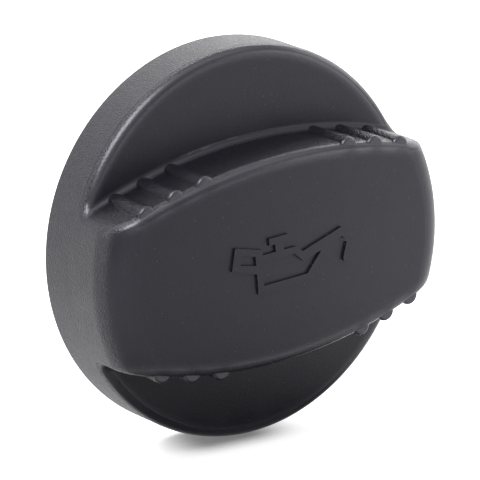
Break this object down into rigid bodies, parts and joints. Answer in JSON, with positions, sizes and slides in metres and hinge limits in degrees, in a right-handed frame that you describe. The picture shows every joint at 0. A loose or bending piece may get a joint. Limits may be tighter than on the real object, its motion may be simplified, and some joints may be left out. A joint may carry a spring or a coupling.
{
  "type": "oil filler cap",
  "caption": "Round black plastic engine oil filler cap with a domed grip bar, finger ribs and a raised oil can symbol, closing the filler neck by a bayonet plug and a rubber seal.",
  "frame": {"origin": "on the cap's axis, in the plane of the seal's lower face", "axes": "+Z along the cap's axis, out through the grip; +X along the grip bar"},
  "size_m": [0.0766, 0.0766, 0.0374],
  "materials": {
    "cover_plastic": "fine grained matt black moulding",
    "plug_plastic": "smooth satin black moulding",
    "seal_rubber": "matt black rubber"
  },
  "bodies": {
    "root": {"grip_cover": "cover_plastic", "bayonet_plug": "plug_plastic", "sealing_ring": "seal_rubber"}
  },
  "joints": []
}
